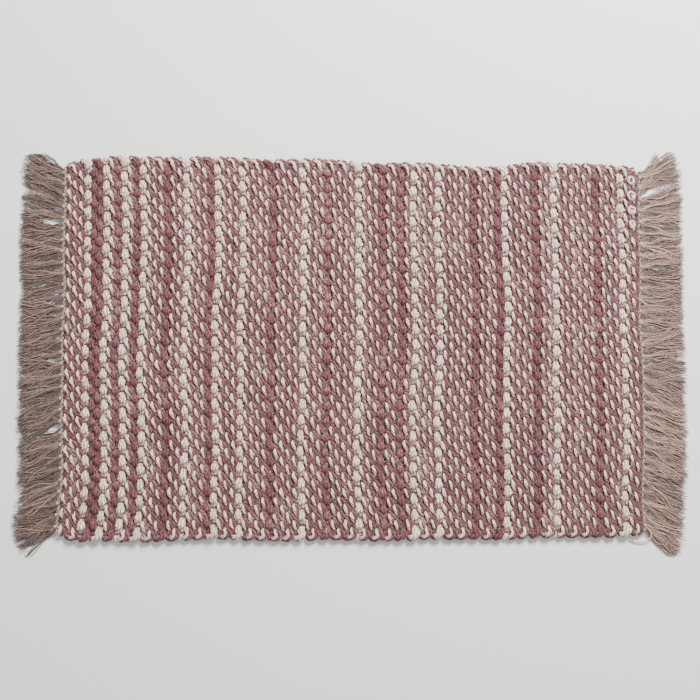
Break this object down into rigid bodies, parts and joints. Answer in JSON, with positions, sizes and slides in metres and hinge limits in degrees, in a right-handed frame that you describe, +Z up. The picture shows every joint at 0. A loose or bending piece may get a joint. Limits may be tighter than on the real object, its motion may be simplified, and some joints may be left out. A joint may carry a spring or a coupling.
{
  "type": "bath mat",
  "caption": "Flat hand-woven cotton bath mat with narrow cream stripes across a cream and rose ground, and a loose warp fringe along both short ends.",
  "frame": {"origin": "on the floor, under the middle of the mat", "axes": "+X along the mat, parallel to the warp, from one fringe to the other; +Y across it, parallel to the weft; +Z up from the floor"},
  "size_m": [0.9066, 0.5, 0.011],
  "materials": {
    "ground_cotton": "matte",
    "cream_cotton": "matte",
    "twining_cotton": "matte",
    "warp_cotton": "matte"
  },
  "bodies": {
    "root": {"ground_band_01": "ground_cotton", "cream_stripe_01": "cream_cotton", "ground_band_02": "ground_cotton", "cream_stripe_02": "cream_cotton", "ground_band_03": "ground_cotton", "cream_stripe_03": "cream_cotton", "ground_band_04": "ground_cotton", "cream_stripe_04": "cream_cotton", "ground_band_05": "ground_cotton", "cream_stripe_05": "cream_cotton", "ground_band_06": "ground_cotton", "cream_stripe_06": "cream_cotton", "ground_band_07": "ground_cotton", "cream_stripe_07": "cream_cotton", "ground_band_08": "ground_cotton", "cream_stripe_08": "cream_cotton", "ground_band_09": "ground_cotton", "cream_stripe_09": "cream_cotton", "ground_band_10": "ground_cotton", "cream_stripe_10": "cream_cotton", "ground_band_11": "ground_cotton", "cream_stripe_11": "cream_cotton", "ground_band_12": "ground_cotton", "cream_stripe_12": "cream_cotton", "ground_band_13": "ground_cotton", "cream_stripe_13": "cream_cotton", "ground_band_14": "ground_cotton", "cream_stripe_14": "cream_cotton", "ground_band_15": "ground_cotton", "end_twining_left": "twining_cotton", "end_twining_right": "twining_cotton", "warp_group_1": "warp_cotton", "warp_group_2": "warp_cotton", "warp_group_3": "warp_cotton", "warp_group_4": "warp_cotton", "warp_group_5": "warp_cotton", "warp_group_6": "warp_cotton", "warp_group_7": "warp_cotton", "warp_group_8": "warp_cotton"}
  },
  "joints": []
}
